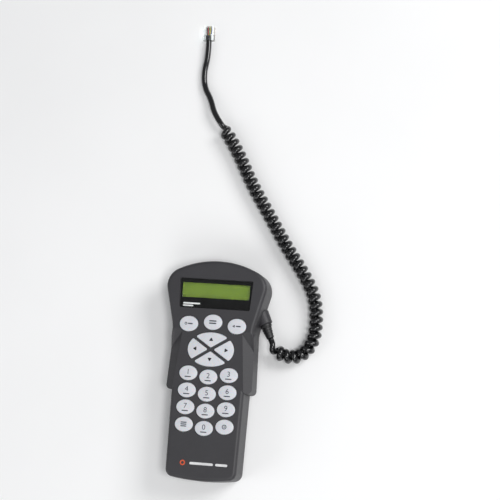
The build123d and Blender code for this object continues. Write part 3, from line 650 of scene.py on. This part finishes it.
def print_window(black, pale):
    """The black border printed behind the window, and a plain pale mark in its lower left corner."""
    low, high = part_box("display_window")
    top_x = WINDOW_TOP_WIDTH / 2 - BORDER_MARGIN
    foot_x = top_x * WINDOW_FOOT_WIDTH / WINDOW_TOP_WIDTH
    foot_y, top_y = low[1] + BORDER_MARGIN, high[1] - BORDER_MARGIN
    border = rounded([(-foot_x, foot_y), (foot_x, foot_y), (top_x, top_y), (-top_x, top_y)], BORDER_CORNER)
    half_x, half_y = OPENING[0] / 2, OPENING[1] / 2
    y = middle("lcd_glass").y
    corners = [(-half_x, y - half_y), (half_x, y - half_y), (half_x, y + half_y), (-half_x, y + half_y)]
    opening = rounded(corners, OPENING_CORNER)
    back = low[2] + INK_DEPTH
    printed("window_border", [filled(border, opening)], level(back), black, "housing", BORDER_EDGE)
    row = low[1] + WINDOW_MARK_UP
    shapes = [filled(bar(x, row + rise, width, WINDOW_MARK_HEIGHT)) for x, rise, width in WINDOW_MARKS]
    printed("window_mark", shapes, level(back + INK_DEPTH), pale, "housing", FLAT_EDGE)


LABEL_INSET = 1.6 * MM
LABEL_LINE = 0.35 * MM
LABEL_CORNER = 1.0 * MM
LABEL_EDGE = 3.0 * MM
RULE_DROP = 6.5 * MM                   # of the first rule below the label's top
RULE_PITCH = 4.6 * MM
RULE_HEIGHT = 0.7 * MM
RULE_WIDTHS = (34.0 * MM, 34.0 * MM, 26.0 * MM, 30.0 * MM)


def print_label(ink):
    """A thin printed frame and plain rules on the label behind."""
    low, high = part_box("rear_label")

    def frame_at(inset):
        left, right = low[0] + inset, high[0] - inset
        foot, top = low[1] + inset, high[1] - inset
        return rounded([(left, foot), (right, foot), (right, top), (left, top)], LABEL_CORNER)

    rules_right = middle("rear_label").x + max(RULE_WIDTHS) / 2
    shapes = [filled(frame_at(LABEL_INSET), frame_at(LABEL_INSET + LABEL_LINE))]
    for row, width in enumerate(RULE_WIDTHS):
        y = high[1] - RULE_DROP - RULE_PITCH * row
        shapes.append(filled(bar(rules_right - width / 2, y, width, RULE_HEIGHT)))
    underside = level(low[2] + INK_DEPTH - 2 * INK)
    printed("label_rules", shapes, underside, ink, "housing", LABEL_EDGE)


# For each ink: two tones, grain per metre, range of roughness and relief in metres.
INKS = {
    "legend_ink": ((0.040, 0.042, 0.058), (0.062, 0.065, 0.085), 2500.0, (0.45, 0.60), 0.005 * MM),
    "arrow_ink": ((0.010, 0.010, 0.012), (0.018, 0.018, 0.020), 2500.0, (0.40, 0.55), 0.005 * MM),
    "pale_ink": ((0.62, 0.62, 0.63), (0.72, 0.72, 0.72), 2500.0, (0.40, 0.55), 0.005 * MM),
    "orange_ink": ((0.55, 0.07, 0.02), (0.68, 0.11, 0.04), 2500.0, (0.40, 0.55), 0.005 * MM),
    "black_ink": ((0.004, 0.004, 0.004), (0.008, 0.008, 0.008), 1500.0, (0.35, 0.50), 0.002 * MM),
}


def print_all():
    """Every printed mark."""
    inks = {name: moulded(name, *values) for name, values in INKS.items()}
    inks["black_ink"].set(Specular_IOR_Level=0.0)
    print_number_keys(inks["legend_ink"])
    print_plain_keys(inks["legend_ink"])
    print_cross(inks["arrow_ink"])
    print_case(inks["pale_ink"], inks["orange_ink"])
    print_window(inks["black_ink"], inks["pale_ink"])
    print_label(inks["black_ink"])


# ---- Cord ---------------------------------------------------------------------------------------------
CORD_DIAMETER = 5.0 * MM
COIL_RADIUS = 3.8 * MM           # of the helix that the cord's middle follows
COIL_PITCH = 6.5 * MM
COIL_STEPS = 24                  # points in each turn
COIL_START = 1.5 * MM            # along the route from the strain relief
COIL_STOP_POINT = 12             # the route's point by which the turns have ended
UNWIND_LENGTH = 14.0 * MM        # cord in which a turn opens out to the straight lead
PLUG_ENTRY_DEPTH = 4.6 * MM
LEAD_STEP = 1.3 * MM             # between points along the leads
CORD_SIDES = 16
PLUG_AXIS = Vector((-0.059155, 0.998249, 0.0))
ROUTE = [
    (0.046706, 0.032485, 0.0120),
    (0.050486, 0.024317, 0.0120),
    (0.0580, 0.0178, 0.0090),
    (0.0730, 0.0182, 0.0064),
    (0.0834, 0.0315, 0.0064),
    (0.0846, 0.0510, 0.0064),
    (0.0814, 0.0715, 0.0064),
    (0.0698, 0.0910, 0.0064),
    (0.0525, 0.1140, 0.0064),
    (0.0354, 0.1405, 0.0064),
    (0.0182, 0.1660, 0.0064),
    (0.0040, 0.1930, 0.0064),
    (-0.0094, 0.2130, 0.0064),
    (-0.0215, 0.2285, 0.0064),
    (-0.0260, 0.2415, 0.0042),
    (-0.0332, 0.2525, 0.0026),
    (-0.0350, 0.2665, 0.0026),
    (-0.0322, 0.2815, 0.0034),
    (-0.0330, 0.2950, 0.0034),
]


def route_line():
    """The points of the smooth line that the route's points draw in."""
    curve = bpy.data.curves.new("route", "CURVE")
    curve.dimensions = "3D"
    curve.resolution_u = 24
    spline = curve.splines.new("NURBS")
    spline.points.add(len(ROUTE) - 1)
    for point, place in zip(spline.points, ROUTE):
        point.co = (*place, 1.0)
    spline.order_u = 3
    spline.use_endpoint_u = True
    mesh = flat_shape(curve)
    return [vertex.co.copy() for vertex in mesh.vertices]


class Line:
    """A smooth line with a frame that is carried along it without twisting."""

    def __init__(self, points):
        self.points = points
        self.reach = [0.0]
        for a, b in zip(points, points[1:]):
            self.reach.append(self.reach[-1] + (b - a).length)
        self.length = self.reach[-1]
        ahead = [(b - a).normalized() for a, b in zip(points, points[1:])]
        self.along = [ahead[0]]
        self.along += [(a + b).normalized() for a, b in zip(ahead, ahead[1:])]
        self.along.append(ahead[-1])
        side = self.along[0].orthogonal().normalized()
        self.side = [side]
        for before, now in zip(self.along, self.along[1:]):
            side = before.rotation_difference(now) @ side
            side = (side - now * side.dot(now)).normalized()
            self.side.append(side)

    def at(self, distance):
        """(point, side, other side) at a distance along the line."""
        distance = min(max(distance, 0.0), self.length)
        low, high = 0, len(self.reach) - 1
        while high - low > 1:
            half = (low + high) // 2
            low, high = (half, high) if self.reach[half] <= distance else (low, half)
        share = (distance - self.reach[low]) / (self.reach[high] - self.reach[low])
        point = self.points[low].lerp(self.points[high], share)
        side = self.side[low].lerp(self.side[high], share).normalized()
        along = self.along[low].lerp(self.along[high], share).normalized()
        return point, side, along.cross(side)

    def nearest(self, place):
        """Distance along the line of its point nearest to a place."""
        gaps = [(point - place).length for point in self.points]
        return self.reach[gaps.index(min(gaps))]


def smooth(share):
    """An eased step from 0 to 1."""
    return share * share * (3 - 2 * share)


def coiled_path(line, start, stop):
    """The cord's middle: straight along the line, and wound round it between start and stop."""
    turn_length = math.hypot(2 * math.pi * COIL_RADIUS, COIL_PITCH)
    full_tilt = math.atan2(2 * math.pi * COIL_RADIUS, COIL_PITCH)
    step = turn_length / COIL_STEPS
    ease_steps = round(UNWIND_LENGTH / step)
    ease = [full_tilt * smooth(i / ease_steps) for i in range(ease_steps + 1)]
    ease_run = sum(step * math.cos(tilt) for tilt in ease)
    full_steps = round((stop - start - 2 * ease_run) / (step * math.cos(full_tilt)))
    tilts = ease + [full_tilt] * full_steps + ease[::-1]
    lead = round(start / LEAD_STEP)
    points = [line.at(start * i / lead)[0] for i in range(lead)]
    distance, phase = start, math.pi
    for tilt in tilts:
        point, side, other = line.at(distance)
        radius = COIL_RADIUS * math.sin(tilt) / math.sin(full_tilt)
        points.append(point + (side * math.cos(phase) + other * math.sin(phase)) * radius)
        distance += step * math.cos(tilt)
        phase += 2 * math.pi * step / turn_length
    rest = line.length - distance
    tail = round(rest / LEAD_STEP)
    points += [line.at(distance + rest * i / tail)[0] for i in range(tail + 1)]
    return points


def tube(name, points, radius, sides, look):
    """A round tube with closed ends along points, riding on the housing."""
    line = Line(points)
    form = bmesh.new()
    rings = []
    for point, side, along in zip(line.points, line.side, line.along):
        other = along.cross(side)
        ring = []
        for k in range(sides):
            angle = 2 * math.pi * k / sides
            ring.append(form.verts.new(point + (side * math.cos(angle) + other * math.sin(angle)) * radius))
        rings.append(ring)
    for near, far in zip(rings, rings[1:]):
        for k in range(sides):
            form.faces.new((near[k], near[(k + 1) % sides], far[(k + 1) % sides], far[k]))
    form.faces.new(rings[0][::-1])
    form.faces.new(rings[-1])
    for face in form.faces:
        face.smooth = len(face.verts) == 4
    mesh = bpy.data.meshes.new(name)
    form.to_mesh(mesh)
    form.free()
    mesh.materials.append(look.material)
    piece = bpy.data.objects.new(name, mesh)
    bpy.context.collection.objects.link(piece)
    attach(piece, "housing")
    return piece


PLUG_WIRE_PITCH = 1.02 * MM
PLUG_WIRE_RADIUS = 0.36 * MM
PLUG_WIRE_SIDES = 10
PLUG_WIRE_GAP = 0.05 * MM        # above the contacts
# Along each wire: how far into the plug, its share of the full pitch, and how far it has come down.
PLUG_WIRE_STATIONS = [
    (4.0 * MM, 0.55, 0.0),
    (5.2 * MM, 0.62, 0.1),
    (6.4 * MM, 0.85, 0.5),
    (7.6 * MM, 1.0, 1.0),
    (9.6 * MM, 1.0, 1.0),
    (12.3 * MM, 1.0, 1.0),
]
PLUG_WIRE_TONES = {
    "white": (0.70, 0.70, 0.68),
    "black": (0.02, 0.02, 0.02),
    "red": (0.50, 0.03, 0.03),
    "green": (0.03, 0.30, 0.06),
    "yellow": (0.72, 0.55, 0.04),
    "blue": (0.04, 0.10, 0.42),
}


def plug_wires():
    """The six bared wires that fan out inside the clear plug, from the cord's jacket to the contacts."""
    entry = Vector(ROUTE[-1])
    side = Vector((PLUG_AXIS.y, -PLUG_AXIS.x, 0.0))
    floor_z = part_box("plug_contacts")[1][2] + PLUG_WIRE_RADIUS + PLUG_WIRE_GAP
    wires = []
    for i, (tone, colour) in enumerate(PLUG_WIRE_TONES.items()):
        across = (i - (len(PLUG_WIRE_TONES) - 1) / 2) * PLUG_WIRE_PITCH
        points = []
        for reach, share, fall in PLUG_WIRE_STATIONS:
            place = entry + PLUG_AXIS * reach + side * (across * share)
            points.append(Vector((place.x, place.y, entry.z + (floor_z - entry.z) * fall)))
        darker = tuple(c * 0.8 for c in colour)
        look = moulded("wire_" + tone, darker, colour, 900.0, (0.30, 0.45), 0.005 * MM)
        wires.append(tube("plug_wire_" + tone, points, PLUG_WIRE_RADIUS, PLUG_WIRE_SIDES, look))
    return wires


def add_cord():
    """The coiled cord from the strain relief to its plug."""
    line = Line(route_line())
    stop = line.nearest((Vector(ROUTE[COIL_STOP_POINT]) + Vector(ROUTE[COIL_STOP_POINT + 1])) / 2)
    path = coiled_path(line, COIL_START, stop)
    path += [Vector(ROUTE[-1]) + PLUG_AXIS * (PLUG_ENTRY_DEPTH * i / 4) for i in range(1, 5)]
    cord = tube("cord", path, CORD_DIAMETER / 2, CORD_SIDES, cord_look())
    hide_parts("cord_lead_near", "cord_coil", "cord_lead_far")
    plug_wires()


# ---- Floor and light ----------------------------------------------------------------------------------
FLOOR_HALF = 3.0
FLOOR_Z = -0.2 * MM


def add_floor():
    """A plain pale floor."""
    look = Look("floor_pale")
    look.colour(look.tones(look.noise(6.0), (0.3, (0.90, 0.90, 0.90)), (0.7, (0.93, 0.93, 0.93))))
    look.roughness(look.noise(30.0), 0.75, 0.85)
    mesh = bpy.data.meshes.new("floor")
    corners = [(-FLOOR_HALF, -FLOOR_HALF, FLOOR_Z), (FLOOR_HALF, -FLOOR_HALF, FLOOR_Z),
               (FLOOR_HALF, FLOOR_HALF, FLOOR_Z), (-FLOOR_HALF, FLOOR_HALF, FLOOR_Z)]
    mesh.from_pydata(corners, [], [(0, 1, 2, 3)])
    mesh.materials.append(look.material)
    floor = bpy.data.objects.new("floor", mesh)
    bpy.context.collection.objects.link(floor)


def softbox(name, place, size, power):
    """A square area light that faces the controller."""
    data = bpy.data.lights.new(name, "AREA")
    data.shape = "SQUARE"
    data.size = size
    data.energy = power
    lamp = bpy.data.objects.new(name, data)
    lamp.location = place
    target = (cad_box[0] + cad_box[1]) / 2
    lamp.rotation_euler = (target - Vector(place)).to_track_quat("-Z", "Y").to_euler()
    bpy.context.collection.objects.link(lamp)


# Place in metres, size in metres and power in watts.
SOFTBOXES = {
    "key_light": ((1.25, 0.75, 1.15), 0.8, 17.0),
    "fill_light": ((-1.3, -0.7, 1.0), 1.0, 6.0),
    "foot_light": ((0.3, -1.3, 1.3), 1.0, 7.0),
    "top_light": ((0.62, -0.18, 1.55), 0.34, 8.5),
}
WORLD_COLOUR = (0.95, 0.97, 1.0, 1.0)
WORLD_STRENGTH = 0.26


def add_lights():
    """Soft studio light, strongest from the upper right."""
    for name, values in SOFTBOXES.items():
        softbox(name, *values)
    world = bpy.data.worlds.new("studio")
    world.use_nodes = True
    background = world.node_tree.nodes["Background"]
    background.inputs["Color"].default_value = WORLD_COLOUR
    background.inputs["Strength"].default_value = WORLD_STRENGTH
    bpy.context.scene.world = world
    bpy.context.scene.view_settings.view_transform = "Standard"


add_camera()
dress_nodes()
print_all()
add_cord()
add_floor()
add_lights()
